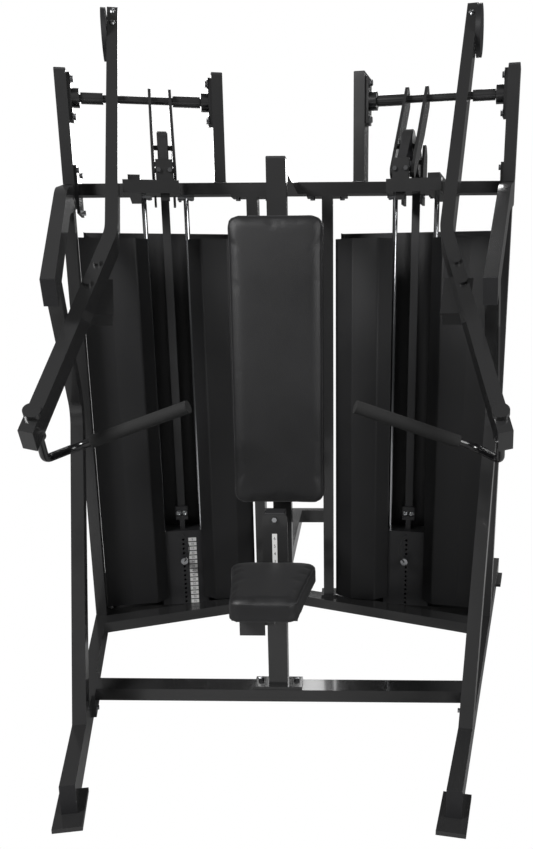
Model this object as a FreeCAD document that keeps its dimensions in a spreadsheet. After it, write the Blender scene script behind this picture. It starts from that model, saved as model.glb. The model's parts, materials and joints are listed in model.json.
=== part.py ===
import FreeCAD, Part
import math
import os
import re

# Converging chest press: two modules turned about the vertical, one stack each. Millimetres, +Z up.
# A module point is (U outward, V back, z); the right module is modelled and the left is its mirror.
doc = FreeCAD.newDocument("chest_press")
sheet = doc.addObject("Spreadsheet::Sheet", "Sizes")
SIZES = {
    "module_angle": 12, "module_x": 464,
    "tube_wide": 40, "tube_deep": 80, "wall": 3,
    "rail_in": 313, "rail_front": -1440, "rail_back": 600, "floor_gap": 12, "foot_wide": 75,
    "post_top": 2035, "post_inner": -222, "post_v": -70,
    "bar_low": 1645, "bar_front": -30,
    "axle_v": -30, "axle_z": 1955, "axle_dia": 25, "sleeve_dia": 37, "bearing_high": 150,
    "lever_half": 30, "lever_plate": 10, "pulley_rad": 48, "pulley_wide": 36, "pulley_along": 256,
    "belt_wide": 30, "belt_thick": 3, "bolt_dia": 16, "running_gap": 0.05,
    "plate_wide": 185, "plate_deep": 100, "plate_thick": 19, "stack_low": 62, "top_thick": 28,
    "rod_dia": 19, "rod_off": 77, "stem_dia": 24,
    "arm_top": -493, "arm_bend": 707, "arm_end": 1467, "disc_dia": 175,
    "handle_dia": 25, "grip_dia": 38,
    "shroud_low": 95, "shroud_high": 1490, "sheet_thick": 2,
    "seat_top": 530, "seat_thick": 65, "pad_half": 149, "pad_thick": 65, "pad_low": 642, "pad_high": 1526,
    "frame_shift": 497.66325, "post60": 60, "back_y": -620, "seat_y": -900,
}
for row, (alias, value) in enumerate(SIZES.items(), start=1):
    sheet.set("A%d" % row, alias)
    sheet.set("B%d" % row, str(value))
    sheet.setAlias("B%d" % row, alias)
doc.recompute()
WORDS = re.compile(r"\b(" + "|".join(sorted(SIZES, key=len, reverse=True)) + r")\b")
count = [0]


def linked(expr):
    """Return the expression with every size word pointing at the sheet."""
    return WORDS.sub(r"Sizes.\1", str(expr))


def val(expr):
    """Return the number that an expression gives now."""
    found = sheet.evalExpression(linked(expr))
    return float(getattr(found, "Value", found))


def new(kind, name="piece"):
    """Add one document object under a fresh name."""
    count[0] += 1
    return doc.addObject(kind, "%s_%d" % (name, count[0]))


def drive(obj, **props):
    """Bind properties to expressions on the sheet."""
    for prop, expr in props.items():
        obj.setExpression(prop.replace("__", "."), linked(expr))


def at(obj, x, y, z):
    """Bind an object's position."""
    drive(obj, Placement__Base__x=x, Placement__Base__y=y, Placement__Base__z=z)
    return obj


def box(xs, ys, zs):
    """Solid box between pairs of expressions."""
    obj = new("Part::Box", "box")
    drive(obj, Length="(%s)-(%s)" % (xs[1], xs[0]), Width="(%s)-(%s)" % (ys[1], ys[0]),
          Height="(%s)-(%s)" % (zs[1], zs[0]))
    return at(obj, xs[0], ys[0], zs[0])


def tube(xs, ys, zs, along):
    """Square tube open along one axis, its wall from the sheet."""
    spans = [(a, b) if axis == along else ("(%s)+wall" % a, "(%s)-wall" % b)
             for axis, (a, b) in zip("xyz", (xs, ys, zs))]
    return cut(box(xs, ys, zs), box(*spans))


def cut(base, tool):
    obj = new("Part::Cut", "cut")
    obj.Base, obj.Tool = base, tool
    return obj


def fuse(*parts):
    obj = new("Part::MultiFuse", "fuse")
    obj.Shapes = list(parts)
    return obj


def group(*parts):
    obj = new("Part::Compound", "group")
    obj.Links = list(parts)
    return obj


TURN = {"z": (0, 0, 1, 0), "x": (0, 1, 0, 90), "y": (1, 0, 0, -90)}


def rod(x, y, z, dia, length, axis="z", sides=0):
    """Cylinder, or six-sided head, that starts at a point and runs along +axis."""
    obj = new("Part::Prism" if sides else "Part::Cylinder", "rod")
    if sides:
        obj.Polygon = sides
        drive(obj, Circumradius="(%s)/2" % dia, Height=length)
    else:
        drive(obj, Radius="(%s)/2" % dia, Height=length)
    ax, ay, az, angle = TURN[axis]
    obj.Placement = FreeCAD.Placement(FreeCAD.Vector(), FreeCAD.Rotation(FreeCAD.Vector(ax, ay, az), angle))
    return at(obj, x, y, z)


def feature(shape, name="form"):
    obj = new("Part::Feature", name)
    obj.Shape = shape
    return obj


def rounded_wire(points, radii, closed=True):
    """Polyline with tangent arcs; points are 3-D vectors."""
    size = len(points)
    ends = []
    for i, point in enumerate(points):
        radius = radii[i] if isinstance(radii, (list, tuple)) else radii
        if radius <= 0 or (not closed and i in (0, size - 1)):
            ends.append((point, point, None))
            continue
        to_prev = (points[i - 1] - point).normalize()
        to_next = (points[(i + 1) % size] - point).normalize()
        half = to_prev.getAngle(to_next) / 2
        if half > math.pi / 2 - 0.01:
            ends.append((point, point, None))
            continue
        reach = radius / math.tan(half)
        middle = point + (to_prev + to_next).normalize() * (radius / math.sin(half) - radius)
        ends.append((point + to_prev * reach, point + to_next * reach, middle))
    edges = []
    for i in range(size):
        start, end, middle = ends[i]
        if middle is not None:
            edges.append(Part.Arc(start, middle, end).toShape())
        if i < size - 1 or closed:
            following = ends[(i + 1) % size][0]
            if end.distanceToPoint(following) > 1e-6:
                edges.append(Part.LineSegment(end, following).toShape())
    return Part.Wire(edges)


def side_prism(points, u0, u1, radii=0):
    """Outline in the (V, z) plane, thickened from u0 to u1."""
    vectors = [FreeCAD.Vector(u0, v, z) for v, z in points]
    return Part.Face(rounded_wire(vectors, radii)).extrude(FreeCAD.Vector(u1 - u0, 0, 0))


def plan_prism(points, z0, z1, radii=0):
    """Outline in plan, thickened from z0 to z1."""
    vectors = [FreeCAD.Vector(x, y, z0) for x, y in points]
    return Part.Face(rounded_wire(vectors, radii)).extrude(FreeCAD.Vector(0, 0, z1 - z0))


def ribbon(path, half, radius):
    """Outline of a strip of half-width half about a centre line, its bends rounded at the centre radius."""
    left, right, left_r, right_r = [], [], [], []
    for i, (a, b) in enumerate(path):
        before = path[max(i - 1, 0)]
        after = path[min(i + 1, len(path) - 1)]
        dirs = []
        for p, q in ((before, (a, b)), ((a, b), after)):
            run = math.hypot(q[0] - p[0], q[1] - p[1])
            if run > 0:
                dirs.append(((q[0] - p[0]) / run, (q[1] - p[1]) / run))
        d0, d1 = dirs[0], dirs[-1]
        nx, ny = -(d0[1] + d1[1]), d0[0] + d1[0]
        scale = half * 2 / (nx * nx + ny * ny)
        left.append((a + nx * scale, b + ny * scale))
        right.append((a - nx * scale, b - ny * scale))
        cross = d0[0] * d1[1] - d0[1] * d1[0]
        bend = 0 if abs(cross) < 1e-6 else radius
        left_r.append(max(bend - half, 1) if cross > 1e-6 else (bend + half if bend else 0))
        right_r.append(max(bend - half, 1) if cross < -1e-6 else (bend + half if bend else 0))
    return left + right[::-1], left_r + right_r[::-1]


def member(path, u0, u1, radius=0, trims=()):
    """Bent box tube in the (V, z) plane, cut off by outlines where it meets other tubes."""
    wall, half = val("wall"), val("tube_deep/2")
    outer, radii = ribbon(path, half, radius)
    inner, inner_radii = ribbon(path, half - wall, radius)
    solid = side_prism(outer, u0, u1, radii).cut(side_prism(inner, u0 + wall, u1 - wall, inner_radii))
    for trim in trims:
        solid = solid.cut(side_prism(trim, u0 - 50, u1 + 50))
    return feature(solid.Solids[0] if len(solid.Solids) == 1 else max(solid.Solids, key=lambda s: s.Volume))


def pipe(points, radius_bend, dia):
    """Round bar along a rounded path."""
    vectors = [FreeCAD.Vector(*p) for p in points]
    spine = rounded_wire(vectors, radius_bend, closed=False)
    circle = Part.Wire(Part.Circle(vectors[0], vectors[1] - vectors[0], dia / 2).toShape())
    return spine.makePipeShell([circle], True, False)


def soft_edges(shape, radius, keep=lambda edge: True):
    return shape.makeFillet(radius, [edge for edge in shape.Edges if keep(edge)])


nodes = {}


def node(name, obj):
    """Name one sub-part, carried back so that the origin is under the middle of the floor outline."""
    held = group(obj)
    drive(held, Placement__Base__y="frame_shift")
    held.Label = name
    nodes[name] = held
    return held


def placed(obj):
    """Place a module piece in the right module."""
    obj.Placement = FreeCAD.Placement(FreeCAD.Vector(), FreeCAD.Rotation(FreeCAD.Vector(0, 0, 1), 0))
    drive(obj, Placement__Base__x="module_x", Placement__Rotation__Angle="-module_angle * 1 deg")
    return obj


def mirrored(obj):
    twin = new("Part::Mirroring", "mirror")
    twin.Source = obj
    twin.Normal = FreeCAD.Vector(1, 0, 0)
    return twin


def pair(name, *parts):
    """One fixed node holding the right module's pieces and their mirror images."""
    right = placed(group(*parts))
    return node(name, group(right, mirrored(right)))


def sided(name, *parts):
    """A right node and a left node for a moving piece."""
    right = placed(group(*parts)) if len(parts) > 1 else placed(group(parts[0]))
    node("right_" + name, right)
    node("left_" + name, mirrored(right))


# ---- welded frame -------------------------------------------------------------------------------
rail_out = "rail_in+tube_wide"
foot = [box(("rail_in+tube_wide/2-foot_wide/2", "rail_in+tube_wide/2+foot_wide/2"), span, ("0", "floor_gap"))
        for span in (("rail_front-66", "rail_front+115"), ("rail_back-150", "rail_back+30"))]
rail_top = "floor_gap+tube_deep"
pair("base_rails", tube(("rail_in", rail_out), ("rail_front", "rail_back"), ("floor_gap", rail_top), "y"),
     box(("-300", "rail_in"), ("-20", "92"), ("floor_gap", "stack_low-10")), *foot)

u_in, u_out = val("rail_in"), val("rail_in+tube_wide")
top_z = val(rail_top)
lift = val("axle_z") - 1955
bent = [(10, 1640 + lift), (-330, 1588 + lift), (-889, 1295.7 + lift)]
bent_area = ribbon([(400, 1700 + lift), bent[1], (-1500, 976 + lift)], val("tube_deep/2"), 0)[0]
column = [(-1199, -81), (-412, 917), (-909, 1447)]
under_rail = [(-2500, -900), (900, -900), (900, top_z), (-2500, top_z)]
pair("front_braces", member(column, u_in, u_out, 100, [under_rail, bent_area]),
     member(bent, u_in, u_out, 250))
v0, v1 = val("post_v"), val("post_v+tube_deep")
pair("outer_posts", member([(v0 + 40, 1500), (v0 + 40, val("post_top"))], u_in, u_out, 0,
                           [[(v, z) for v, z in [(-900, 900), (900, 900), (900, 1817.6 + lift), (-900, 1542.2 + lift)]]]))
under_bent = [(-900, 1630 + lift - 87.2), (-330, 1547.5 + lift), (900, 1735.6 + lift), (900, 3000), (-900, 3000)]
pair("tower_uprights", member([(-150, top_z), (-150, 1800)], u_in, u_out, 0, [under_bent]))
bar_high = "bar_low+tube_wide"
pair("inner_posts", tube(("post_inner", "post_inner+tube_wide"), ("post_v", "post_v+tube_deep"),
                         (bar_high, "post_top+5"), "z"))

slant = val("module_angle") * math.pi / 180


def world(u, v):
    """Plan point of the right module in the shared frame."""
    return (val("module_x") + u * math.cos(slant) + v * math.sin(slant), -u * math.sin(slant) + v * math.cos(slant))


def on_line(u, y):
    """Plan point where a module's plane of constant U crosses a plane of constant Y."""
    return world(u, (y + u * math.sin(slant)) / math.cos(slant))


def even(points):
    """Close a right-hand half outline over the centre plane."""
    return points + [(-x, y) for x, y in reversed(points)]


def flat_tube(points, inner, z0, z1):
    wall = val("wall")
    return feature(plan_prism(points, z0, z1).cut(plan_prism(inner, z0 + wall, z1 - wall)))


front, wall = val("bar_front"), val("wall")
low, high = val("bar_low"), val(bar_high)
end_u = u_in - 10
outline = even([on_line(end_u, front), on_line(end_u, front + 80)])
hollow = even([on_line(end_u + 1, front + wall), on_line(end_u + 1, front + 77)])
bar_plate = placed(group(box(("rail_in-10", "rail_in"), ("post_v+10", "post_v+186"), ("bar_low-70", "bar_low+90"))))
slot = placed(group(box(("-22", "22"), ("-8", "8"), ("bar_low-5", "bar_low+tube_wide+5"))))
slotted = cut(flat_tube(outline, hollow, low, high), fuse(slot, mirrored(slot)))
node("crossbar", group(slotted, bar_plate, mirrored(bar_plate)))

slope = 175 / 743
inner_v = lambda u: -255 + (u_in - u) * slope
beam_z = (52, 92)
meet = -val("module_x") / math.cos(slant)
beam_out = [(u_in, inner_v(u_in) - 41), (u_in, inner_v(u_in) + 41)]
beam_world = [world(u, v) for u, v in beam_out]
step = [(world(u, v), world(u - 400, v + 400 * slope)) for u, v in beam_out]
centre = [(0, a[1] - (b[1] - a[1]) / (b[0] - a[0]) * a[0]) for a, b in step]
vee = [beam_world[0], beam_world[1], centre[1], (-beam_world[1][0], beam_world[1][1]),
       (-beam_world[0][0], beam_world[0][1]), centre[0]]
cross_ends = [on_line(u_in - 10, -920), on_line(u_in - 10, -840)]
cross_in = [on_line(u_in - 9, -917), on_line(u_in - 9, -843)]
cross_plate = placed(group(box(("rail_in-10", "rail_in"), ("-925", "-745"), ("floor_gap+5", "floor_gap+80"))))
node("front_crossbar", group(flat_tube(even(cross_ends), even(cross_in), *beam_z), cross_plate,
                             mirrored(cross_plate)))
node("base_beams", feature(plan_prism(vee, *beam_z)))

uprights = []
for sx in (-1, 1):
    x0 = 118 if sx > 0 else -158
    uprights += [tube((x0, x0 + 40), ("bar_front-10", "bar_front+70"), ("102", "bar_low-10"), "z"),
                 box((x0 - 55, x0 + 95), ("bar_front-10", "bar_front+70"), ("bar_low-10", "bar_low")),
                 box((x0 - 10, x0 + 50), ("bar_front-20", "bar_front+70"), ("92", "102"))]
uprights.append(box(("-118", "118"), ("-20", "20"), ("405", "455")))
node("inner_uprights", group(*uprights))
b0, b1 = "back_y", "back_y+post60"
node("back_post", group(tube(("-post60/2", "post60/2"), (b0, b1), ("405", "1678"), "z"),
                        tube(("-post60/2", "post60/2"), (b1, "bar_front"), ("bar_low", bar_high), "y"),
                        tube(("-post60/2", "post60/2"), (b1, "-20"), ("405", "455"), "y")))
s0, s1 = "seat_y", "seat_y+post60"
index = soft_edges(Part.makeBox(76, 8, 260, FreeCAD.Vector(-38, val("seat_y") - 8, 398)), 10,
                   lambda e: abs(e.BoundBox.YLength - 8) < 0.1 and e.BoundBox.ZMax > 600)
node("seat_upright", group(tube(("-post60/2", "post60/2"), (s0, s1), ("102", "655"), "z"),
                           box(("-75", "75"), ("seat_y-18", "seat_y+post60"), ("92", "102")), feature(index)))

anchors = [box(("-45", "135"), ("-395", "-315"), ("1610", "1650"))]
gap_front = [(u, (front + u * math.sin(slant)) / math.cos(slant)) for u in (80, 120)]
anchors.append(feature(plan_prism([(80, -315), (120, -315), gap_front[1], gap_front[0]], 1615, 1675)))
anchors.append(box(("-14", "14"), ("-379", "-352"), ("1590", "1610")))
anchors.append(box(("-27", "27"), ("-384", "-366"), ("1650", "1714")))
for side in (-1, 1):
    fin = side_prism([(-110, 1600), (-40, 1600), (-40, 1685), (-2, 1685), (-2, 1770), (-30, 1800), (-75, 1800),
                      (-110, 1720)], side * 34 - 4, side * 34 + 4, [0, 0, 0, 0, 20, 20, 20, 20])
    anchors.append(feature(fin))
anchors.append(rod("-30", "-(pulley_rad+2.3)", "1745", "bolt_dia", "60", "x"))
pair("anchor_beams", *anchors)

# ---- tower fittings --------------------------------------------------------------------------------
rod_xs = ["-rod_off", "rod_off"]
pair("guide_rods", *[rod(x, "0", "floor_gap+40", "rod_dia", "bar_low-floor_gap-40-10") for x in rod_xs],
     *[box(("%s-30" % x, "%s+30" % x), ("-4", "56"), ("bar_low-10", "bar_low")) for x in rod_xs])
clear = "rod_dia+2*running_gap"
pair("rod_bumpers", *[cut(rod(x, "0", "stack_low-10", "rod_dia+26", "10"),
                          rod(x, "0", "stack_low-11", clear, "12")) for x in rod_xs])


def plates(low_z, number):
    """Weight plates with holes for the rods and the stem."""
    made = []
    for i in range(number):
        z = "%s+%d*plate_thick" % (low_z, i)
        top = "%s+plate_thick" % z
        holes = fuse(*[rod(x, "0", z, clear, "plate_thick") for x in rod_xs],
                     rod("0", "0", z, "stem_dia+2", "plate_thick"),
                     rod("0", "-plate_deep/2", z + "+plate_thick/2", "10.2", "plate_deep/2", "y"))
        made.append(cut(box(("-plate_wide/2", "plate_wide/2"), ("-plate_deep/2", "plate_deep/2"), (z, top)), holes))
    return made


pair("resting_plates", *plates("stack_low", 10))
sided("lifted_plates", *plates("stack_low+10*plate_thick", 5))
top_low = "stack_low+15*plate_thick"
lid = cut(box(("-plate_wide/2", "plate_wide/2"), ("-plate_deep/2", "plate_deep/2"), (top_low, top_low + "+top_thick")),
          fuse(*[rod(x, "0", top_low, clear, "top_thick") for x in rod_xs]))
hook_low = top_low + "+top_thick"
stem = cut(rod("0", "0", "stack_low+20", "stem_dia", "15*plate_thick-20"),
           rod("0", "-20", "stack_low+10.5*plate_thick", "10.2", "40", "y"))
sided("top_plate", lid, stem, box(("-10", "10"), ("-13", "13"), (hook_low, hook_low + "+38")),
      box(("-24", "24"), ("belt_thick/2", "11.5"), (hook_low + "+38", hook_low + "+92")),
      box(("-24", "24"), ("-11.5", "-belt_thick/2"), (hook_low + "+38", hook_low + "+92")))
pin_z = "stack_low+10.5*plate_thick"
sided("selector_pin", rod("0", "-plate_deep/2-24", pin_z, "10", "plate_deep/2+36", "y"),
      rod("0", "-plate_deep/2-54", pin_z, "28", "30", "y"))


def sheet_path(points, z0, z1, thick):
    """Bent sheet in plan, thickened inwards of its outer line."""
    outline, radii = ribbon(points, thick / 2, 12)
    return plan_prism(outline, z0, z1, radii)


thick = val("sheet_thick")
s_low, s_high = val("shroud_low"), val("shroud_high")
for name, line in (("outer_shrouds", [(72, -62), (115, -110), (213, -110), (312, -116)]),
                   ("inner_shrouds", [(-75, -62), (-120, -110), (-215, -110), (-286, -76)])):
    pair(name, feature(sheet_path(line, s_low, s_high, thick)))
cover = [(-296, 62), (-296, 90), (306, 90), (306, 62)]
pair("back_covers", feature(sheet_path(cover, 52, 1520, thick)))

# ---- axle group --------------------------------------------------------------------------------------
ax_v, ax_z = "axle_v", "axle_z"
bore = "axle_dia+2*running_gap"
rings = []
for u0, inward in (("rail_in-12", -1), ("post_inner+tube_wide", 1)):
    boss_u = "rail_in-38" if inward < 0 else "post_inner+tube_wide+12"
    body = fuse(box((u0, u0 + "+12"), ("axle_v-30", "axle_v+30"), ("axle_z-bearing_high/2", "axle_z+bearing_high/2")),
                rod(boss_u, ax_v, ax_z, "62", "26", "x"))
    rings.append(cut(body, rod("(%s)-30" % boss_u, ax_v, ax_z, bore, "90", "x")))
pair("axle_bearings", *rings)
shaft = rod("post_inner+tube_wide+2", ax_v, ax_z, "axle_dia", "rail_in-post_inner-tube_wide-4", "x")
sleeve_spans = (("195", "77"), ("-142", "97"))
sided("axle", shaft, *[cut(rod(u, ax_v, ax_z, "sleeve_dia", n, "x"), rod(u, ax_v, ax_z, bore, n, "x"))
                   for u, n in sleeve_spans])

root2 = math.sqrt(0.5)
av, az = val("axle_v"), val("axle_z")


def arm_point(along, normal):
    """(V, z) of a point along the arm from the axle, and out from its centre plane towards the front."""
    return (av - root2 * along - root2 * normal, az - root2 * along + root2 * normal)


def turned(shape):
    """Carry a shape from arm coordinates (U, along, normal) to module coordinates."""
    matrix = FreeCAD.Matrix(1, 0, 0, 0, 0, -root2, -root2, av, 0, -root2, root2, az, 0, 0, 0, 1)
    return shape.transformed(matrix)


half_w, half_d = val("tube_wide/2"), val("tube_deep/2")
arm_path = [(155, val("arm_top")), (172, val("arm_bend")), (400, val("arm_end"))]
outer, radii = ribbon(arm_path, half_w, 250)
inner, inner_radii = ribbon(arm_path, half_w - wall, 250)
arm_solid = plan_prism(outer, -half_d, half_d, radii).cut(
    plan_prism(inner, wall - half_d, half_d - wall, inner_radii))
arm_solid = turned(arm_solid).cut(Part.makeCylinder(val(bore) / 2, 200, FreeCAD.Vector(60, av, az),
                                                    FreeCAD.Vector(1, 0, 0)))
caps = [turned(plan_prism(ribbon([arm_path[i], (arm_path[i][0] + du, arm_path[i][1] + da)], half_w, 0)[0], -half_d, half_d))
        for i, du, da in ((0, -0.06, -4), (2, 1.15, 3.83))]
bend_at = val("arm_bend")
halves = [arm_solid.common(turned(Part.makeBox(1200, 2000, 200, FreeCAD.Vector(-400, start, -100))))
          for start in (bend_at - 2000, bend_at)]
sided("press_arm", *[feature(half.Solids[0]) for half in halves], *[feature(cap) for cap in caps])
plate_shape = [(-32, -40), (-32, 40), (430, 40), (430, 2), (150, -40)]
levers = []
for u0 in (-40, 30):
    flat = Part.Face(rounded_wire([FreeCAD.Vector(u0, *arm_point(a, n)) for a, n in plate_shape],
                                  [30, 30, 16, 16, 40])).extrude(FreeCAD.Vector(10, 0, 0))
    flat = flat.cut(Part.makeCylinder(val(bore) / 2, 40, FreeCAD.Vector(u0 - 10, av, az), FreeCAD.Vector(1, 0, 0)))
    levers.append(feature(flat))
pull_v, pull_z = "axle_v-0.70711*pulley_along", "axle_z-0.70711*pulley_along"
tip_v, tip_z = arm_point(400, 21)
levers += [rod("-lever_half", pull_v, pull_z, "bolt_dia", "2*lever_half", "x"),
           rod("-lever_half", tip_v, tip_z, "bolt_dia", "2*lever_half", "x")]
sided("lever", *levers)


def pulley(v, z, radius):
    """Grooved wheel with a running bore."""
    wheel = rod("-pulley_wide/2", v, z, "2*%s" % radius, "pulley_wide", "x")
    return cut(wheel, rod("-pulley_wide/2", v, z, "bolt_dia+2*running_gap", "pulley_wide", "x"))


sided("moving_pulley", pulley(pull_v, pull_z, "pulley_rad"))
fix_v, fix_z = "-(pulley_rad+2.3)", "1745"
sided("fixed_pulley", pulley(fix_v, fix_z, "(pulley_rad+0.5)"))
disc_v, disc_z = arm_point(-385, 0)
sided("counterweight", rod("178", disc_v, disc_z, "disc_dia", "18", "x"))

stop = turned(Part.makeBox(88, 145, 8, FreeCAD.Vector(176, 835, -48)))
stop_box = turned(Part.makeBox(90, 50, 40, FreeCAD.Vector(182, 930, -88)))
arm_bolts = [turned(Part.makeCylinder(12, 10, FreeCAD.Vector(u, along, half_d))) for u, along in ((217, 852), (243, 935))]
sided("arm_stop", *[feature(shape) for shape in [stop, stop_box] + arm_bolts])
sided("handle_bolt", feature(turned(Part.makeCylinder(24, 16, FreeCAD.Vector(384, 1412, half_d)))),
      feature(turned(Part.makeCylinder(20, 20, FreeCAD.Vector(384, 1412, -half_d - 20)))))
start_v, start_z = arm_point(1412, -60.3)
step_v, step_z = arm_point(1412, -170)
route = [(384, start_v, start_z), (384, step_v, step_z), (310, -800, 850), (-21, -946, 978)]
sided("handle_tube", feature(pipe(route, [0, 40, 50, 0], val("handle_dia"))))
grip_from = [route[2][i] + (route[3][i] - route[2][i]) * 0.16 for i in range(3)]
grip_axis = FreeCAD.Vector(*route[3]) - FreeCAD.Vector(*grip_from)
grip = Part.makeCylinder(val("grip_dia/2"), grip_axis.Length + 8, FreeCAD.Vector(*grip_from), grip_axis)
grip = grip.cut(Part.makeCylinder(val("handle_dia/2") + 0.05, grip_axis.Length, FreeCAD.Vector(*grip_from),
                                  grip_axis))
sided("grip", feature(grip))

# ---- belts -------------------------------------------------------------------------------------------
mv, mz = val(pull_v), val(pull_z)
fv, fz = val(fix_v), val(fix_z)
half_belt, belt_w = val("belt_thick/2"), val("belt_wide/2")
r_move = val("pulley_rad+0.3+belt_thick/2")
r_fix = r_move + 0.5


def crossing(p, d, q, e):
    """Point where the line through p along d meets the line through q along e."""
    k = ((q[0] - p[0]) * e[1] - (q[1] - p[1]) * e[0]) / (d[0] * e[1] - d[1] * e[0])
    return (p[0] + d[0] * k, p[1] + d[1] * k)


def onward(p, d, reach):
    return (p[0] + d[0] * reach, p[1] + d[1] * reach)


span = math.hypot(mv - fv, mz - fz)
d1 = ((mv - fv) / span, (mz - fz) / span)
k = (r_fix - r_move) / span
n1 = (d1[0] * k + d1[1] * math.sqrt(1 - k * k), d1[1] * k - d1[0] * math.sqrt(1 - k * k))
leave, arrive = onward((fv, fz), n1, r_fix), onward((mv, mz), n1, r_move)
run = ((arrive[0] - leave[0]) / math.dist(arrive, leave), (arrive[1] - leave[1]) / math.dist(arrive, leave))
hold = (-364.5, 1714)
reach = math.dist(hold, (mv, mz))
e1 = ((hold[0] - mv) / reach, (hold[1] - mz) / reach)
c2 = r_move / reach
n2 = (e1[0] * c2 + e1[1] * math.sqrt(1 - c2 * c2), e1[1] * c2 - e1[0] * math.sqrt(1 - c2 * c2))
quit_m = onward((mv, mz), n2, r_move)
down = ((hold[0] - quit_m[0]) / math.dist(hold, quit_m), (hold[1] - quit_m[1]) / math.dist(hold, quit_m))
corner_f = crossing((0, fz), (0, 1), leave, run)
corner_m = crossing(arrive, run, quit_m, down)


def band(path, radius):
    outline, radii = ribbon(path, half_belt, radius)
    return feature(side_prism(outline, -belt_w, belt_w, radii))


sided("belt_loop", band([onward(arrive, run, -15), corner_m, onward(quit_m, down, 15)], r_move))
pair("belt_guides", band([(0, fz), corner_f, onward(leave, run, 15)], r_fix),
     band([(-364.5, 1652), hold, onward(hold, down, -30)], 20))
lift_low = "stack_low+15*plate_thick+top_thick+38"
sided("belt_lift", box(("-belt_wide/2", "belt_wide/2"), ("-belt_thick/2", "belt_thick/2"), (lift_low, fix_z)))

cord_dia = 3.0
lanyard = [(0, -50.6, 362), (-4, -72, 360), (-14, -92, 346), (-22, -104, 324), (-22, -113, 300), (-12, -117, 278),
           (0, -105.6, 261.5)]
cord_radii = [0]
for before, here, after in zip(lanyard, lanyard[1:], lanyard[2:]):
    a, b, c = (FreeCAD.Vector(*p) for p in (before, here, after))
    turn = (b - a).getAngle(c - b)
    cord_radii.append(0.45 * min((b - a).Length, (c - b).Length) / math.tan(turn / 2))
print("lanyard radii", [round(r, 1) for r in cord_radii[1:]])
sided("pin_lanyard", feature(pipe(lanyard, cord_radii + [0], cord_dia)))

# ---- seat and back ---------------------------------------------------------------------------------
seat_under = "seat_top-seat_thick"
seat_low = "seat_top-seat_thick-80"
sleeve = cut(box(("-46", "46"), ("seat_y-22", "seat_y+post60+10"), (seat_low, "seat_top-seat_thick-10")),
             box(("-38.6", "38.6"), ("seat_y-8.6", "seat_y+post60+0.6"), (seat_low, "seat_top-seat_thick-10")))
node("seat_carriage", group(
    sleeve, box(("-20", "20"), ("seat_y-290", "seat_y-22"), ("seat_top-seat_thick-48", "seat_top-seat_thick-8")),
    box(("-88", "88"), ("seat_y-360", "seat_y-45"), ("seat_top-seat_thick-8", seat_under)),
    box(("-84", "-80"), ("-1208", "-1195"), ("seat_top-seat_thick-32", "seat_top-seat_thick-8")),
    box(("-4", "0"), ("-1208", "-1195"), ("seat_top-seat_thick-32", "seat_top-seat_thick-8"))))
node("seat_lever", group(rod("-79.9", "-1201.5", "seat_top-seat_thick-25", "8", "75.8", "x"),
                         box(("-75", "-5"), ("-1203", "-1200"), ("seat_top-seat_thick-73", "seat_top-seat_thick-29"))))
seat_plan = [(-135, -940), (135, -940), (95, -1310), (-95, -1310)]
seat_block = plan_prism(seat_plan, val(seat_under), val("seat_top"), 38)
node("seat_pad", feature(seat_block))

pad_w, pad_lo, pad_hi, pad_t = val("pad_half"), val("pad_low"), val("pad_high"), val("pad_thick")


def back_slab(half, low_z, high_z, y, deep, radius):
    """Rounded upright slab, leaning with the back pad."""
    slab = soft_edges(Part.makeBox(2 * half, deep, high_z - low_z, FreeCAD.Vector(-half, y, low_z)), radius,
                      lambda e: abs(e.BoundBox.YLength - deep) < 0.1)
    slab.rotate(FreeCAD.Vector(0, -700, pad_hi), FreeCAD.Vector(1, 0, 0), -2.6)
    return slab


pad_front = val("back_y") - 80
node("back_pad", feature(back_slab(pad_w, pad_lo, pad_hi, pad_front, pad_t, 40)))
board = back_slab(pad_w - 12, pad_lo + 12, pad_hi - 12, pad_front + pad_t, 12, 30)
solid_back = back_slab(pad_w - 12, pad_lo + 12, pad_hi - 12, pad_front - 100, pad_t + 112, 30)
blocks = [Part.makeBox(60, 60, 60, FreeCAD.Vector(-30, val("back_y") - 60, z)).cut(solid_back) for z in (760, 1380)]
node("back_board", group(feature(board), *[feature(block.Solids[0]) for block in blocks]))

# ---- caps and bolts ----------------------------------------------------------------------------------
def dome(xs, ys, z):
    block = Part.makeBox(xs[1] - xs[0], ys[1] - ys[0], 7, FreeCAD.Vector(xs[0], ys[0], z))
    return feature(soft_edges(block, 4, lambda e: e.BoundBox.ZMin > z + 6))


nose = [(-889.2 - 0.886 * k + 0.463 * s, 1295.6 + lift - 0.463 * k - 0.886 * s) for k, s in
        ((0, 40), (0, -40), (4, -40), (4, 40))]
pi = val("post_inner")
wall_caps = [box(("rail_in", rail_out), span, ("floor_gap", rail_top)) for span in
             (("rail_front-4", "rail_front"), ("rail_back", "rail_back+4"))]
caps_right = placed(group(*wall_caps, dome((u_in, u_out), (v0, v1), val("post_top")),
                          dome((pi, pi + 40), (v0, v1), val("post_top+5")),
                          feature(side_prism(nose, u_in, u_out))))
node("end_caps", group(caps_right, mirrored(caps_right), dome((-30, 30), (val(b0), val(b1)), 1678),
                       dome((-30, 30), (val(s0), val(s1)), 655),
                       box(("-30", "30"), (b0, b1), ("400", "405"))))
heads = [rod("rail_in-18", v, z, "18", "8", "x", 6) for v in ("post_v+30", "post_v+170")
         for z in ("bar_low-55", "bar_low+75")]
heads += [rod(u, ax_v, "axle_z%+d" % z, "20", "9", "x", 6) for u in ("rail_in-21", "post_inner+tube_wide+12")
          for z in (-60, 60)]
heads += [rod("rail_in-18", v, "floor_gap+30", "16", "8", "x", 6) for v in ("-908", "-762")]
heads += [rod(x, "-392", "1682", "15", "8", "y", 6) for x in ("-18", "18")]
heads += [rod("%s%+d" % (x, d), "%d" % (28 + d), "bar_low-16", "11", "6", "z", 6) for x in rod_xs for d in (-21, 21)]
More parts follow.
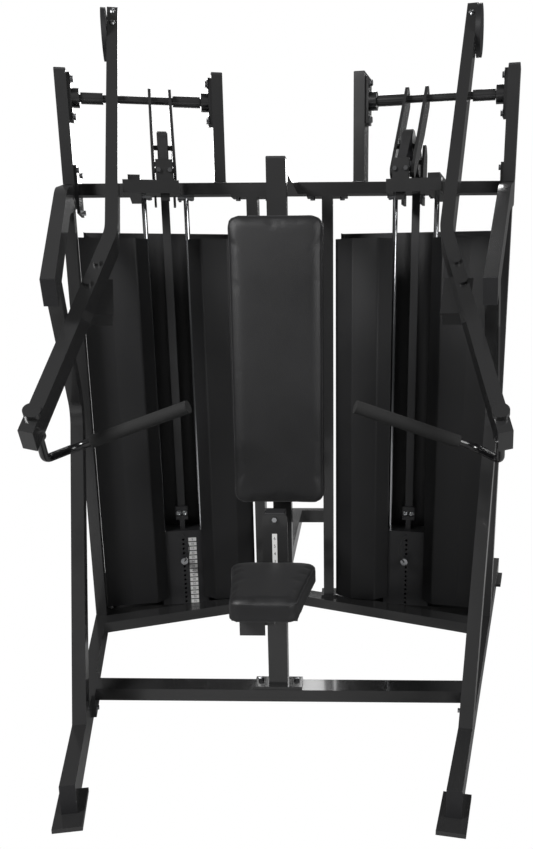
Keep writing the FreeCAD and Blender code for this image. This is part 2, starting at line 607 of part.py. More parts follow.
heads_right = placed(group(*heads))
middle = [rod("%d" % x, "10", "bar_low-18", "18", "8", "z", 6) for x in (-193, -83, 83, 193)]
middle += [rod("%d" % x, "seat_y+30", "102", "18", "9", "z", 6) for x in (-57, 57)]
middle += [rod("0", "seat_y-18", "645", "16", "10", "y", 6)]
node("frame_bolts", group(heads_right, mirrored(heads_right), *middle))

# ---- checks and export -------------------------------------------------------------------------------
doc.recompute()
os.makedirs("parts", exist_ok=True)
for obj in doc.Objects:
    if "Invalid" in obj.State or "Error" in obj.State:
        raise RuntimeError("broken object %s" % obj.Name)
for name, obj in nodes.items():
    if obj.Shape.isNull() or not obj.Shape.isValid():
        raise RuntimeError("bad shape %s" % name)
    obj.Shape.exportStep("parts/%s.step" % name)
print("nodes", len(nodes))
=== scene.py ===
"""Looks of a converging chest press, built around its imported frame."""

import json
import logging
import math
from dataclasses import dataclass
from enum import Enum
from typing import Dict, List, Sequence, Tuple

import bmesh
import bpy
from mathutils import Matrix, Vector
from mathutils.bvhtree import BVHTree


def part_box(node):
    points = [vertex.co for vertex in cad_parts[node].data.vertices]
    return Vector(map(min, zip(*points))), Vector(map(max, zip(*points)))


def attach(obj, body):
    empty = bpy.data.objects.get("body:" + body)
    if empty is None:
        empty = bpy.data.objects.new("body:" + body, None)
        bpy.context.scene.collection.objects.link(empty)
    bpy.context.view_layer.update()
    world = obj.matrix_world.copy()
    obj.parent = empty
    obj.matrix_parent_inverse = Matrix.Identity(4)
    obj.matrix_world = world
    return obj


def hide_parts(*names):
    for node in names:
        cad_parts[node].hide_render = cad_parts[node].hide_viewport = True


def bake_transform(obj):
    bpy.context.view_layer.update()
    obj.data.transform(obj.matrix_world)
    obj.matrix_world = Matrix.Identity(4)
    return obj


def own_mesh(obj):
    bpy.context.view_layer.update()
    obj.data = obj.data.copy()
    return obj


LOG = logging.getLogger("chest_press")
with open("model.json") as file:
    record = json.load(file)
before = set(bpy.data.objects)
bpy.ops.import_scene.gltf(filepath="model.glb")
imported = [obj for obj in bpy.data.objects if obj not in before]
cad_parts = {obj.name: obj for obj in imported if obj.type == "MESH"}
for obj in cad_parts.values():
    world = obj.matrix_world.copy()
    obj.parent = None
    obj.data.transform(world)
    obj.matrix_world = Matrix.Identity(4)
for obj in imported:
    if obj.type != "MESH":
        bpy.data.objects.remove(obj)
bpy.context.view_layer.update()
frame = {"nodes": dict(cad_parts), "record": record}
ANGLE = math.radians(12.0)
MODULE_X = 0.464
SHIFT = 0.49766325
Point = Tuple[float, float, float]
MOST_BUMP = 2.5
FULL_TURN = 6.28
BELT_WIDE, BELT_THICK = .030, .003
PLATE_COUNT, LIFTED_COUNT, PLATE_PITCH, STACK_TOP = 15, 5, 19, 347
WASHER_SIDES = 28
CLOTH_FRAMES = 20
STRIP_SECTION = ((-1, -.6), (-.97, -1), (.97, -1), (1, -.6), (1, .6), (.97, 1), (-.97, 1), (-1, .6))


class Side(Enum):
    """The two mirrored modules."""
    RIGHT = 1
    LEFT = -1

    @property
    def label(self) -> str:
        """Returns: the prefix that this side's names carry."""
        return self.name.lower()


def place(side: Side, u: float, v: float, z: float) -> Vector:
    """Turns a module point into the shared frame.

    Args: side, the module; u, v, z, outward, back and up in millimetres.
    Returns: the point in metres.
    """
    x = MODULE_X + (u * math.cos(ANGLE) + v * math.sin(ANGLE)) / 1000
    y = SHIFT + (-u * math.sin(ANGLE) + v * math.cos(ANGLE)) / 1000
    return Vector((side.value * x, y, z / 1000))


@dataclass(frozen=True)
class Finish:
    """One surface recipe: colour spread, gloss, grain and a painted highlight on convex edges."""
    name: str
    dark: Tuple[float, float, float]
    light: Tuple[float, float, float]
    rough: Tuple[float, float]
    grain: float
    bump: float
    metallic: float = 0.0
    coat: float = 0.0
    sheen: float = 0.0
    stretch: Point = (1.0, 1.0, 1.0)
    cells: bool = False
    wear: float = 0.0


# The wear value of a finish (wear) sets how far its convex edges are painted toward light grey: a painted edge
# highlight, not real wear.
FINISHES: Dict[str, Finish] = {f.name: f for f in (
    Finish("gloss_black", (.0022, .0022, .0026), (.0055, .0055, .006), (.14, .26), 420, .010,
           coat=.6, wear=.55),
    Finish("chrome", (.55, .56, .58), (.74, .75, .77), (.06, .17), 90, .006, 1.0, stretch=(1, 1, .05)),
    Finish("upholstery", (.007, .007, .0075), (.013, .013, .014), (.40, .54), 520, .22,
           sheen=.05, cells=True),
    Finish("foam", (.010, .010, .010), (.024, .024, .024), (.80, .95), 900, .35, cells=True),
    Finish("belt", (.012, .012, .012), (.028, .028, .030), (.50, .68), 700, .20, stretch=(1, 1, 3)),
    Finish("cap_rubber", (.010, .010, .011), (.022, .022, .024), (.45, .62), 600, .08),
    Finish("sheet_black", (.0045, .0045, .005), (.009, .009, .010), (.40, .54), 1300, .14,
           cells=True, wear=.05),
    Finish("plate_paint", (.008, .008, .009), (.018, .018, .020), (.34, .48), 480, .10, wear=.3),
    Finish("pulley_nylon", (.016, .016, .018), (.032, .032, .035), (.36, .50), 300, .05),
    Finish("lanyard", (.010, .010, .010), (.030, .030, .030), (.62, .80), 1500, .30, stretch=(1, 1, .4)),
    Finish("board", (.010, .009, .008), (.024, .021, .018), (.55, .70), 60, .10, stretch=(1, 1, .06)),
    Finish("paddle_black", (.014, .014, .015), (.030, .030, .032), (.28, .40), 400, .04, coat=.4, wear=.4),
    Finish("label_white", (.70, .70, .69), (.84, .84, .83), (.35, .50), 200, .02),
    Finish("ink", (.012, .012, .012), (.020, .020, .020), (.50, .60), 300, .01),
    Finish("stitch", (.020, .020, .021), (.050, .050, .052), (.60, .75), 900, .20),
    Finish("weld", (.005, .005, .006), (.012, .012, .013), (.16, .30), 260, .25, coat=.7),
    Finish("zinc", (.34, .35, .36), (.52, .53, .54), (.22, .38), 240, .05, 1.0, wear=.2),
)}


class Surfaces:
    """Builds each finish once, through one shared shader group."""

    def __init__(self) -> None:
        self.group = self._grain_group()
        self.made: Dict[str, bpy.types.Material] = {}

    @staticmethod
    def _grain_group() -> bpy.types.ShaderNodeTree:
        """Returns: a group giving colour factor, roughness factor and height from object coordinates."""
        tree = bpy.data.node_groups.new("surface_grain", "ShaderNodeTree")
        tree.interface.new_socket("Scale", in_out="INPUT", socket_type="NodeSocketFloat")
        tree.interface.new_socket("Stretch", in_out="INPUT", socket_type="NodeSocketVector")
        tree.interface.new_socket("Cells", in_out="INPUT", socket_type="NodeSocketFloat")
        tree.interface.new_socket("Tone", in_out="OUTPUT", socket_type="NodeSocketFloat")
        tree.interface.new_socket("Gloss", in_out="OUTPUT", socket_type="NodeSocketFloat")
        tree.interface.new_socket("Height", in_out="OUTPUT", socket_type="NodeSocketFloat")
        add, link = tree.nodes.new, tree.links.new
        given, out = add("NodeGroupInput"), add("NodeGroupOutput")
        coords, scaled = add("ShaderNodeTexCoord"), add("ShaderNodeVectorMath")
        scaled.operation = "MULTIPLY"
        link(coords.outputs["Object"], scaled.inputs[0])
        link(given.outputs["Stretch"], scaled.inputs[1])
        broad, fine, cells = add("ShaderNodeTexNoise"), add("ShaderNodeTexNoise"), add("ShaderNodeTexVoronoi")
        broad.inputs["Scale"].default_value = 3.2
        broad.inputs["Detail"].default_value = 6.0
        fine.inputs["Detail"].default_value = 5.0
        for texture in (broad, fine, cells):
            link(scaled.outputs[0], texture.inputs["Vector"])
        for texture in (fine, cells):
            link(given.outputs["Scale"], texture.inputs["Scale"])
        mix = add("ShaderNodeMix")
        link(given.outputs["Cells"], mix.inputs[0])
        link(fine.outputs[0], mix.inputs[2])
        link(cells.outputs["Distance"], mix.inputs[3])
        tone = add("ShaderNodeMath")
        tone.operation = "MULTIPLY_ADD"
        tone.inputs[1].default_value = 0.55
        link(broad.outputs[0], tone.inputs[0])
        half = add("ShaderNodeMath")
        half.operation = "MULTIPLY"
        half.inputs[1].default_value = 0.45
        link(mix.outputs[0], half.inputs[0])
        link(half.outputs[0], tone.inputs[2])
        link(tone.outputs[0], out.inputs["Tone"])
        link(broad.outputs[0], out.inputs["Gloss"])
        link(mix.outputs[0], out.inputs["Height"])
        return tree

    def get(self, name: str) -> bpy.types.Material:
        """Args: name, a finish. Returns: its material, made at first use."""
        if name in self.made:
            return self.made[name]
        finish = FINISHES[name]
        mat = bpy.data.materials.new("press_" + name)
        mat.use_nodes = True
        tree = mat.node_tree
        add, link = tree.nodes.new, tree.links.new
        shader = tree.nodes["Principled BSDF"]
        grain = add("ShaderNodeGroup")
        grain.node_tree = self.group
        grain.inputs["Scale"].default_value = finish.grain
        grain.inputs["Stretch"].default_value = finish.stretch
        grain.inputs["Cells"].default_value = 0.8 if finish.cells else 0.0
        ramp = add("ShaderNodeValToRGB")
        ramp.color_ramp.elements[0].position, ramp.color_ramp.elements[1].position = 0.30, 0.72
        ramp.color_ramp.elements[0].color = (*finish.dark, 1)
        ramp.color_ramp.elements[1].color = (*finish.light, 1)
        link(grain.outputs["Tone"], ramp.inputs[0])
        # Painted edge highlight: convex edges, found by pointiness, are mixed toward light grey to stand in for
        # the bright edges that gloss paint shows.
        edge_highlight_mix, edge = add("ShaderNodeMix"), add("ShaderNodeNewGeometry")
        edge_highlight_mix.data_type = "RGBA"
        edge_highlight_mask = add("ShaderNodeMapRange")
        edge_highlight_mask.inputs["From Min"].default_value, edge_highlight_mask.inputs["From Max"].default_value = 0.52, 0.58
        edge_highlight_mask.inputs["To Max"].default_value = finish.wear * 0.25
        link(edge.outputs["Pointiness"], edge_highlight_mask.inputs["Value"])
        link(edge_highlight_mask.outputs[0], edge_highlight_mix.inputs[0])
        link(ramp.outputs[0], edge_highlight_mix.inputs[6])
        edge_highlight_mix.inputs[7].default_value = (.16, .16, .16, 1)
        link(edge_highlight_mix.outputs[2], shader.inputs["Base Color"])
        rough = add("ShaderNodeMapRange")
        rough.inputs["From Min"].default_value, rough.inputs["From Max"].default_value = 0.3, 0.7
        rough.inputs["To Min"].default_value, rough.inputs["To Max"].default_value = finish.rough
        link(grain.outputs["Gloss"], rough.inputs["Value"])
        link(rough.outputs[0], shader.inputs["Roughness"])
        bump = add("ShaderNodeBump")
        bump.inputs["Strength"].default_value = min(finish.bump * MOST_BUMP, 1)
        bump.inputs["Distance"].default_value = 0.0006
        link(grain.outputs["Height"], bump.inputs["Height"])
        link(bump.outputs[0], shader.inputs["Normal"])
        shader.inputs["Metallic"].default_value = finish.metallic
        shader.inputs["Coat Weight"].default_value = finish.coat
        shader.inputs["Coat Roughness"].default_value = 0.08
        shader.inputs["Sheen Weight"].default_value = finish.sheen
        self.made[name] = mat
        return mat

    def dress_nodes(self) -> None:
        """Gives every carried-over CAD node the finish of its slot."""
        for part in frame["record"]["subparts"]:
            obj = frame["nodes"][part["node"]]
            obj.data.materials.clear()
            obj.data.materials.append(self.get(part["material_slot"]))


SURFACES = Surfaces()


def mesh_piece(name: str, bm: bmesh.types.BMesh, finish: str, smooth: bool = True) -> bpy.types.Object:
    """Args: name; bm, its mesh; finish; smooth shading. Returns: the linked object."""
    mesh = bpy.data.meshes.new(name)
    bm.to_mesh(mesh)
    bm.free()
    for face in mesh.polygons:
        face.use_smooth = smooth
    mesh.materials.append(SURFACES.get(finish))
    obj = bpy.data.objects.new(name, mesh)
    bpy.context.collection.objects.link(obj)
    return obj


def join_rings(bm: bmesh.types.BMesh, ring: Sequence[bmesh.types.BMVert],
               after: Sequence[bmesh.types.BMVert]) -> None:
    """Args: bm; ring and after, two closed loops with as many vertices, joined by one band of faces."""
    size = len(ring)
    for k in range(size):
        bm.faces.new((ring[k], ring[(k + 1) % size], after[(k + 1) % size], after[k]))


def bake(obj: bpy.types.Object) -> None:
    """Args: obj, whose modifiers are written into its mesh."""
    deps = bpy.context.evaluated_depsgraph_get()
    mesh = bpy.data.meshes.new_from_object(obj.evaluated_get(deps))
    obj.modifiers.clear()
    obj.data = mesh


def strip_mesh(start: Vector, end: Vector, across: Vector, wide: float, thick: float,
               cuts: int) -> bmesh.types.BMesh:
    """A flat strip between two points, cut across its length.

    Args: start, end; across, its width direction; wide, thick; cuts, how many segments.
    Returns: the mesh.
    """
    bm = bmesh.new()
    along = (end - start).normalized()
    over = along.cross(across).normalized()
    rings: List[List[bmesh.types.BMVert]] = []
    for i in range(cuts + 1):
        mid = start.lerp(end, i / cuts)
        rings.append([bm.verts.new(mid + across * (wide / 2 * a) + over * (thick / 2 * b))
                      for a, b in STRIP_SECTION])
    for ring, after in zip(rings, rings[1:]):
        join_rings(bm, ring, after)
    bm.faces.new(rings[0][::-1])
    bm.faces.new(rings[-1])
    bmesh.ops.recalc_face_normals(bm, faces=bm.faces)
    return bm


def slab(outline: Sequence[Tuple[float, float]], low: float, high: float) -> bmesh.types.BMesh:
    """Args: outline, plan points; low, high, its faces. Returns: a closed slab along Z."""
    bm = bmesh.new()
    under = [bm.verts.new((x, y, low)) for x, y in outline]
    over = [bm.verts.new((x, y, high)) for x, y in outline]
    bm.faces.new(under[::-1])
    bm.faces.new(over)
    size = len(outline)
    for i in range(size):
        j = (i + 1) % size
        bm.faces.new((under[i], under[j], over[j], over[i]))
    bmesh.ops.recalc_face_normals(bm, faces=bm.faces)
    return bm


def rounded_outline(corners: Sequence[Tuple[float, float]], radius: float) -> List[Tuple[float, float]]:
    """Args: corners of a convex outline; radius. Returns: the outline with arcs at its corners."""
    made: List[Tuple[float, float]] = []
    size = len(corners)
    for i in range(size):
        here = Vector(corners[i])
        back = (Vector(corners[i - 1]) - here).normalized()
        on = (Vector(corners[(i + 1) % size]) - here).normalized()
        reach = radius / math.tan(back.angle(on) / 2)
        a, b = here + back * reach, here + on * reach
        for step in range(7):
            t = step / 6
            p = a * (1 - t) ** 2 + here * (2 * t * (1 - t)) + b * t * t
            made.append((p.x, p.y))
    return made


@dataclass
class Cushion:
    """A foam pad under grained cover, swelled by a short cloth pass."""
    name: str
    node: str
    body: str
    corners: List[Tuple[float, float]]
    thick: float
    radius: float
    to_world: Matrix
    cap: float = 0.007

    def build(self) -> None:
        """Makes, swells and dresses the pad, piped near its front face, in place of its CAD node."""
        inset = 0.006
        total = Vector((sum(x for x, _ in self.corners), sum(y for _, y in self.corners)))
        middle = total / len(self.corners)
        shrunk = [tuple(middle + (Vector(c) - middle) * (1 - inset / (Vector(c) - middle).length))
                  for c in self.corners]
        outline = rounded_outline(shrunk, self.radius)
        pad = mesh_piece(self.name, slab(outline, 0.0, self.thick - 0.006), "upholstery")
        for kind, values in (("BEVEL", {"width": 0.014, "segments": 3}),
                             ("REMESH", {"mode": "VOXEL", "voxel_size": 0.007})):
            modifier = pad.modifiers.new(kind.lower(), kind)
            for key, value in values.items():
                setattr(modifier, key, value)
        bake(pad)
        rest = [v.co.copy() for v in pad.data.vertices]
        self._swell(pad)
        for vert, old in zip(pad.data.vertices, rest):
            move = vert.co - old
            held = max(0.0, min(1.0, old.z / 0.02))
            vert.co = old + move * (min(1.0, self.cap / max(move.length, 1e-6)) * held)
        for face in pad.data.polygons:
            face.use_smooth = True
        self._seam(outline, pad)
        pad.data.transform(self.to_world)
        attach(pad, self.body)
        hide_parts(self.node)

    def _swell(self, pad: bpy.types.Object) -> None:
        """Args: pad, swelled by cloth pressure with gravity off."""
        cloth = pad.modifiers.new("cloth", "CLOTH")
        cloth.settings.use_pressure = True
        cloth.settings.uniform_pressure_force = 4.0
        cloth.settings.quality = 4
        cloth.settings.tension_stiffness = 40
        cloth.settings.effector_weights.gravity = 0.0
        cloth.point_cache.frame_end = CLOTH_FRAMES
        for step in range(1, CLOTH_FRAMES + 1):
            bpy.context.scene.frame_set(step)
        bake(pad)
        bpy.context.scene.frame_set(1)

    def _seam(self, outline: Sequence[Tuple[float, float]], pad: bpy.types.Object) -> None:
        """Args: outline that the sewn welt follows; pad, whose surface it lies on, near its front face."""
        corners = [Vector((x, y, 0)) for x, y in outline]
        path: List[Vector] = []
        for here, after in zip(corners, corners[1:] + corners[:1]):
            steps = max(1, round((after - here).length / 0.008))
            path += [here.lerp(after, k / steps) for k in range(steps)]
        surface = BVHTree.FromPolygons([v.co for v in pad.data.vertices],
                                       [tuple(p.vertices) for p in pad.data.polygons])
        middle = sum(path, Vector()) / len(path)
        rings = []
        for i, point in enumerate(path):
            tangent = (path[(i + 1) % len(path)] - path[i - 1]).normalized()
            out = tangent.cross(Vector((0, 0, 1)))
            if out.dot(point - middle) < 0:
                out.negate()
            centre = surface.find_nearest(point + out * 0.012 + Vector((0, 0, self.thick - 0.006)))[0]
            rings.append([centre + out * (.0013 * math.cos(a)) + Vector((0, 0, .0013 * math.sin(a)))
                          for a in (k * math.pi / 4 for k in range(8))])
        bm = bmesh.new()
        made = [[bm.verts.new(p) for p in ring] for ring in rings]
        for i, ring in enumerate(made):
            join_rings(bm, ring, made[(i + 1) % len(made)])
        bmesh.ops.recalc_face_normals(bm, faces=bm.faces)
        bm.transform(self.to_world)
        seam = mesh_piece(self.name + "_piping", bm, "stitch")
        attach(seam, self.body)


@dataclass
class BeltRun:
    """The visible straight runs of one side's belt."""
    side: Side

    def build(self) -> None:
        """Makes the vertical run, the run between the two pulleys and the run from the moving pulley to the arm.
        """
        tag = self.side.label
        low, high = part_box(tag + "_belt_lift")
        across = (place(self.side, 1, 0, 0) - place(self.side, 0, 0, 0)).normalized()
        bottom, top = place(self.side, 0, 0, low[2] * 1000), place(self.side, 0, 0, high[2] * 1000)
        upright = strip_mesh(bottom, top, across, BELT_WIDE, BELT_THICK, 40)
        lift = mesh_piece(tag + "_belt_upright", upright, "belt", False)
        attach(lift, "root")
        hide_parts(tag + "_belt_lift")
        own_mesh(lift)
        for name, start, end, bodies, firm, cuts in (("top", LEAVE, ARRIVE, ("root", tag + "_arm"), 0, 14),
                                                     ("front", QUIT, HOLD, (tag + "_arm", "root"), .045, 28)):
            a, b = place(self.side, 0, *start), place(self.side, 0, *end)
            strip = strip_mesh(a, b, across, .0298, .0028, cuts)
            run = mesh_piece("%s_belt_%s" % (tag, name), strip, "belt", False)
            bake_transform(run)


def tangents() -> Tuple[Tuple[float, float], ...]:
    """Returns: back and up points where the belt leaves the fixed wheel, meets and quits the moving one, ends."""
    fixed, moving, hold = Vector((-50.3, 1745)), Vector((-211.02, 1773.98)), Vector((-364.5, 1714))
    r_fixed, r_moving = 50.3, 49.8
    gap = moving - fixed
    unit = gap.normalized()
    k = (r_fixed - r_moving) / gap.length
    up = Vector((unit.y, -unit.x)) * math.sqrt(1 - k * k) + unit * k
    to_hold = hold - moving
    e, c = to_hold.normalized(), r_moving / to_hold.length
    off = e * c + Vector((e.y, -e.x)) * math.sqrt(1 - c * c)
    points = (fixed + up * r_fixed, moving + up * r_moving, moving + off * r_moving, hold)
    return tuple(tuple(p) for p in points)


LEAVE, ARRIVE, QUIT, HOLD = tangents()
LANYARD: List[Point] = [(0, -50.6, 362), (-4, -72, 360), (-14, -92, 346), (-22, -104, 324),
                        (-22, -113, 300), (-12, -117, 278), (0, -105.6, 261.5)]


def lanyard(side: Side) -> None:
    """Args: side, whose pin is tied to its top plate by this cord."""
    tag = side.label
    points = [place(side, *p) for p in LANYARD]
    curve = bpy.data.curves.new(tag + "_lanyard", "CURVE")
    curve.dimensions = "3D"
    curve.bevel_depth = 0.0015
    curve.bevel_resolution = 4
    curve.resolution_u = 16
    spline = curve.splines.new("NURBS")
    spline.points.add(len(points) - 1)
    for slot, point in zip(spline.points, points):
        slot.co = (*point, 1)
    spline.order_u = 3
    spline.use_endpoint_u = True
    curve.materials.append(SURFACES.get("lanyard"))
    bent = bpy.data.objects.new(tag + "_lanyard_route", curve)
    bpy.context.collection.objects.link(bent)
    bpy.context.view_layer.update()
    tube = bpy.data.meshes.new_from_object(bent)
    curve.bevel_depth = 0
    bpy.context.view_layer.update()
    bare = bpy.data.meshes.new_from_object(bent)
    bpy.data.objects.remove(bent)
    for face in tube.polygons:
        face.use_smooth = True
    cord = bpy.data.objects.new(tag + "_lanyard", tube)
    bpy.context.collection.objects.link(cord)
    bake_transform(cord)
    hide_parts(tag + "_pin_lanyard")


class Repeats:
    """Scatters one finished piece over many places through Geometry Nodes."""

    def __init__(self) -> None:
        self.tree = bpy.data.node_groups.new("repeat_piece", "GeometryNodeTree")
        face = self.tree.interface
        face.new_socket("Geometry", in_out="INPUT", socket_type="NodeSocketGeometry")
        face.new_socket("Piece", in_out="INPUT", socket_type="NodeSocketObject")
        face.new_socket("Finish", in_out="INPUT", socket_type="NodeSocketMaterial")
        face.new_socket("Seed", in_out="INPUT", socket_type="NodeSocketInt")
        face.new_socket("Geometry", in_out="OUTPUT", socket_type="NodeSocketGeometry")
        add, link = self.tree.nodes.new, self.tree.links.new
        given, out = add("NodeGroupInput"), add("NodeGroupOutput")
        info, points = add("GeometryNodeObjectInfo"), add("GeometryNodeInstanceOnPoints")
        normal, turn = add("GeometryNodeInputNormal"), add("FunctionNodeAlignRotationToVector")
        spin, realize = add("GeometryNodeRotateInstances"), add("GeometryNodeRealizeInstances")
        chance, paint = add("FunctionNodeRandomValue"), add("GeometryNodeSetMaterial")
        centres = add("GeometryNodeMeshToPoints")
        centres.mode = "FACES"
        keep = add("GeometryNodeCaptureAttribute")
        keep.domain = "FACE"
        keep.capture_items.new("VECTOR", "Facing")
        link(given.outputs["Geometry"], keep.inputs["Geometry"])
        link(normal.outputs[0], keep.inputs["Facing"])
        link(keep.outputs["Geometry"], centres.inputs["Mesh"])
        link(keep.outputs["Facing"], turn.inputs["Vector"])
        link(centres.outputs[0], points.inputs["Points"])
        link(given.outputs["Piece"], info.inputs["Object"])
        link(info.outputs["Geometry"], points.inputs["Instance"])
        link(turn.outputs[0], points.inputs["Rotation"])
        chance.inputs[3].default_value = FULL_TURN
        link(given.outputs["Seed"], chance.inputs["Seed"])
        joined = add("ShaderNodeCombineXYZ")
        link(chance.outputs[1], joined.inputs["Z"])
        link(points.outputs[0], spin.inputs["Instances"])
        link(joined.outputs[0], spin.inputs["Rotation"])
        link(spin.outputs[0], realize.inputs[0])
        link(realize.outputs[0], paint.inputs["Geometry"])
        link(given.outputs["Finish"], paint.inputs["Material"])
        link(paint.outputs[0], out.inputs["Geometry"])

    def build(self, name: str, piece: bpy.types.Object, finish: str,
              places: Sequence[Tuple[Vector, Vector]], body: str, slot: str) -> None:
        """Args: name; piece, at the origin; finish; places, points with outward directions; body; slot, not used.
        """
        bm = bmesh.new()
        for point, facing in places:
            side_a = facing.orthogonal().normalized() * 0.0005
            side_b = facing.cross(side_a).normalized() * 0.0005
            bm.faces.new([bm.verts.new(point + side_a * a + side_b * b)
                          for a, b in ((-1, -1), (1, -1), (1, 1), (-1, 1))])
        holder = mesh_piece(name, bm, finish)
        modifier = holder.modifiers.new("repeat", "NODES")
        modifier.node_group = self.tree
        keys = {item.name: item.identifier for item in self.tree.interface.items_tree
                if item.in_out == "INPUT"}
        modifier[keys["Piece"]] = piece
        modifier[keys["Finish"]] = SURFACES.get(finish)
        modifier[keys["Seed"]] = 7
        bpy.context.view_layer.update()
        bake(holder)
        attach(holder, body)


def washer(radius: float, thick: float, hole: float) -> bpy.types.Object:
    """Args: radius, thick, hole, in metres. Returns: a chamfered washer lying on the origin plane."""
    bm = bmesh.new()
    profile = [(hole, 0), (radius, 0), (radius, thick * .7), (radius - thick * .3, thick), (hole, thick)]
    rings = [[bm.verts.new((r * math.cos(a), r * math.sin(a), z)) for r, z in profile]
             for a in (k * math.tau / WASHER_SIDES for k in range(WASHER_SIDES))]
    for i, ring in enumerate(rings):
        join_rings(bm, ring, rings[(i + 1) % WASHER_SIDES])
    bmesh.ops.recalc_face_normals(bm, faces=bm.faces)
    return mesh_piece("washer_source", bm, "zinc", False)


def turned_piece(name: str, profile: Sequence[Tuple[float, float]], finish: str,
                 sides: int = 24) -> bpy.types.Object:
    """Args: name; profile, radius and height pairs, foot first; finish; sides. Returns: the turned piece."""
    bm = bmesh.new()
    angles = [k * math.tau / sides for k in range(sides)]
    rings = [[bm.verts.new((r * math.cos(a), r * math.sin(a), z)) for a in angles] for r, z in profile]
    for ring, after in zip(rings, rings[1:]):
        join_rings(bm, ring, after)
    bm.faces.new(rings[0][::-1])
    bm.faces.new(rings[-1])
    bmesh.ops.recalc_face_normals(bm, faces=bm.faces)
    return mesh_piece(name, bm, finish)


@dataclass
class Fasteners:
    """Domed bolts and weld scales, each scattered from one finished piece."""
    repeats: "Repeats"

    def on_arm(self, side: Side, along: float, u: float) -> Tuple[Vector, Vector]:
        """Args: side; along, from the axle; u. Returns: a point on the arm's front face and its direction."""
        root = math.sqrt(0.5)
        v, z = -30 - root * (along + 40), 1955 - root * (along - 40)
        facing = place(side, 0, -root * 1000, root * 1000) - place(side, 0, 0, 0)
        return place(side, u, v, z), facing.normalized()

    def build(self) -> None:
        """Places the bolts on each arm's upper end and belt clamp, and the weld scales on the posts."""
        bolt = turned_piece("bolt_source", [(.0115, 0), (.0115, .0016), (.0095, .0018), (.0095, .0052),
                                            (.0075, .0070), (.0042, .0076), (.0040, .0054)], "zinc")
        scale = turned_piece("weld_source", [(.0032, 0), (.0030, .0010), (.0022, .0019), (.0008, .0023)],
                             "weld", 10)
        tops = {Side.LEFT: ((-470, 155.3), (-395, 156.4)), Side.RIGHT: ((-432, 155.9),)}
        for side in Side:
            tag = side.label
            self.repeats.build(tag + "_arm_top_bolts", bolt, "zinc",
                               [self.on_arm(side, a, u) for a, u in tops[side]], tag + "_arm", "chrome")
            front = (place(side, 0, -1000, 0) - place(side, 0, 0, 0)).normalized()
            self.repeats.build(tag + "_clamp_bolts", bolt, "zinc",
                               [(place(side, u, -11.5, 440), front) for u in (-12.5, 12.5)],
                               tag + "_stack", "chrome")
            seam = [(place(side, -222 + 4 * k, -70.2, 1685.5), front) for k in range(11)]
            seam += [(place(side, 313 + 4 * k, -1052 - 35.5, 92.5), front) for k in range(1, 10)]
            self.repeats.build(tag + "_welds", scale, "weld", seam, "root", "gloss_black")
        for source in (bolt, scale):
            bpy.data.objects.remove(source)


def index_strip() -> None:
    """Puts the pale strip of plain position numbers on the seat's index plate."""
    y = -0.9082 + SHIFT
    low, high = Vector((-.001, y, .455)), Vector((-.001, y, .600))
    bm = strip_mesh(low, high, Vector((1, 0, 0)), .015, .0004, 4)
    strip = mesh_piece("index_strip", bm, "label_white", False)
    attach(strip, "root")
    for number in range(1, 7):
        spot = Matrix.Translation((-.001, y - .0003, .465 + .024 * (number - 1)))
        figure("index_%d" % number, str(number), .013, spot @ Matrix.Rotation(math.pi / 2, 4, "X"),
               "root")


def figure(name: str, text: str, size: float, shape: Matrix, body: str) -> None:
    """Makes one flat printed number.

    Args: name; text, a plain number; size; shape, its placement; body.
    """
    curve = bpy.data.curves.new(name, "FONT")
    curve.body, curve.size, curve.align_x, curve.align_y = text, size, "CENTER", "CENTER"
    curve.materials.append(SURFACES.get("ink"))
    holder = bpy.data.objects.new(name + "_text", curve)
    bpy.context.collection.objects.link(holder)
    bpy.context.view_layer.update()
    mesh = bpy.data.meshes.new_from_object(holder)
    bpy.data.objects.remove(holder)
    mesh.transform(shape)
    solid = bpy.data.objects.new(name, mesh)
    bpy.context.collection.objects.link(solid)
    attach(solid, body)


def plate_label(side: Side) -> None:
    """Args: side, whose plates each get a white tag with a plain number."""
    tag = side.label
    for index in range(PLATE_COUNT):
        body = tag + "_stack" if index < LIFTED_COUNT else "root"
        z = STACK_TOP - PLATE_PITCH * (index + 0.5)
        bm = strip_mesh(place(side, -52, -50.7, z), place(side, -20, -50.7, z),
                        Vector((0, 0, 1)), .0150, .0008, 2)
        label = mesh_piece("%s_label_%02d" % (tag, index + 1), bm, "label_white", False)
        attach(label, body)
        turn = -ANGLE if side is Side.RIGHT else ANGLE
        shape = (Matrix.Translation(place(side, -36, -51.4, z)) @ Matrix.Rotation(turn, 4, "Z")
                 @ Matrix.Rotation(math.pi / 2, 4, "X"))
        figure("%s_figure_%02d" % (tag, index + 1), str(5 * (index + 1)), 0.0125, shape, body)


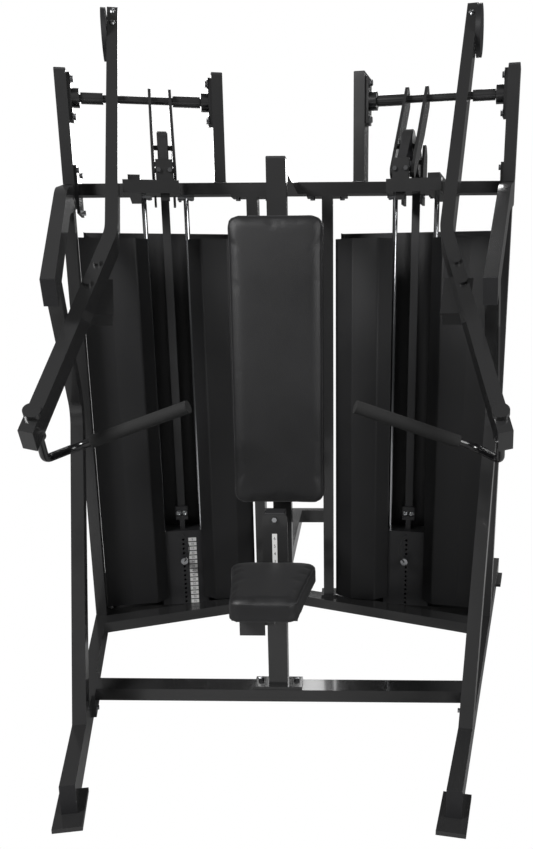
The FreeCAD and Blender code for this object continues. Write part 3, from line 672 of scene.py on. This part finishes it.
def stage_and_light() -> None:
    """Sets the pale floor, the soft lights and the camera."""
    floor_bm = bmesh.new()
    bmesh.ops.create_grid(floor_bm, x_segments=1, y_segments=1, size=40)
    mat = bpy.data.materials.new("stage_floor")
    mat.use_nodes = True
    tree = mat.node_tree
    add, link = tree.nodes.new, tree.links.new
    shader, out = tree.nodes["Principled BSDF"], tree.nodes["Material Output"]
    noise, ramp = add("ShaderNodeTexNoise"), add("ShaderNodeValToRGB")
    noise.inputs["Scale"].default_value = 1.5
    ramp.color_ramp.elements[0].color = (.36, .36, .36, 1)
    ramp.color_ramp.elements[1].color = (.44, .44, .44, 1)
    link(noise.outputs[0], ramp.inputs[0])
    link(ramp.outputs[0], shader.inputs["Base Color"])
    shader.inputs["Roughness"].default_value = 0.7
    path, glow, mix = add("ShaderNodeLightPath"), add("ShaderNodeEmission"), add("ShaderNodeMixShader")
    link(path.outputs["Is Camera Ray"], mix.inputs[0])
    link(shader.outputs[0], mix.inputs[1])
    link(glow.outputs[0], mix.inputs[2])
    link(mix.outputs[0], out.inputs["Surface"])
    floor = mesh_piece("stage_floor", floor_bm, "label_white", False)
    floor.data.materials[0] = mat
    floor.location.z = -0.001
    world = bpy.data.worlds.new("studio")
    world.use_nodes = True
    sky = world.node_tree
    seen, strength = sky.nodes.new("ShaderNodeLightPath"), sky.nodes.new("ShaderNodeMapRange")
    strength.inputs["To Min"].default_value = 0.10
    sky.nodes["Background"].inputs[0].default_value = (1, 1, 1, 1)
    sky.links.new(seen.outputs["Is Camera Ray"], strength.inputs["Value"])
    sky.links.new(strength.outputs[0], sky.nodes["Background"].inputs[1])
    bpy.context.scene.world = world
    for name, spot, aim, size, power in (("key", (-2.6, -3.0, 3.6), (0, 0, 1), 1.4, 190),
                                         ("fill", (3.2, -2.8, 2.6), (0, -.3, 1), 2.4, 90),
                                         ("rim", (0, 3.6, 3.2), (0, .4, 1.4), 2.6, 90)):
        data = bpy.data.lights.new(name, "AREA")
        data.size, data.energy = size, power
        lamp = bpy.data.objects.new(name, data)
        lamp.location = spot
        lamp.rotation_euler = (Vector(aim) - Vector(spot)).to_track_quat("-Z", "Y").to_euler()
        bpy.context.collection.objects.link(lamp)
    data = bpy.data.cameras.new("camera")
    data.lens, data.sensor_width, data.shift_x, data.shift_y = 35.9, 36, -0.074, 0.145
    camera = bpy.data.objects.new("camera", data)
    camera.location = (0.226, -3.354 + SHIFT, 1.272)
    camera.rotation_mode = "XYZ"
    camera.rotation_euler = (math.radians(90 - 16.28), math.radians(0.19), math.radians(1.41))
    bpy.context.collection.objects.link(camera)
    bpy.context.scene.camera = camera
    bpy.context.scene.view_settings.view_transform = "Standard"


def main() -> None:
    logging.basicConfig(level=logging.INFO)
    SURFACES.dress_nodes()
    seat = [(-.135, -.940), (.135, -.940), (.095, -1.310), (-.095, -1.310)]
    on_seat = Matrix.Translation((0, SHIFT, .465))
    Cushion("seat_cushion", "seat_pad", "seat", seat, .065, .038, on_seat).build()
    lean = (Matrix.Translation((0, -.7, 1.526)) @ Matrix.Rotation(math.radians(-2.6), 4, "X")
            @ Matrix.Translation((0, .7, -1.526)))
    upright = (Matrix.Translation((0, SHIFT, 0)) @ lean @ Matrix.Translation((0, -.635, 0))
               @ Matrix.Rotation(math.pi / 2, 4, "X"))
    back = [(-.149, .642), (.149, .642), (.149, 1.526), (-.149, 1.526)]
    Cushion("back_cushion", "back_pad", "root", back, .065, .040, upright).build()
    repeats = Repeats()
    ring = washer(.0145, .0022, .0055)
    cos_a, sin_a = math.cos(ANGLE), math.sin(ANGLE)
    plate_label(Side.LEFT)
    for side in Side:
        BeltRun(side).build()
        lanyard(side)
        inward = Vector((-side.value * cos_a, sin_a, 0))
        outward = -inward
        spots = [(place(side, 301, -30, z), inward) for z in (1895, 2015)]
        spots += [(place(side, -170, -30, z), outward) for z in (1895, 2015)]
        repeats.build(side.label + "_washers", ring, "zinc", spots, "root", "chrome")
    bpy.data.objects.remove(ring)
    Fasteners(repeats).build()
    index_strip()
    stage_and_light()
    LOG.info("pieces built")


if __name__ == "__main__":
    main()
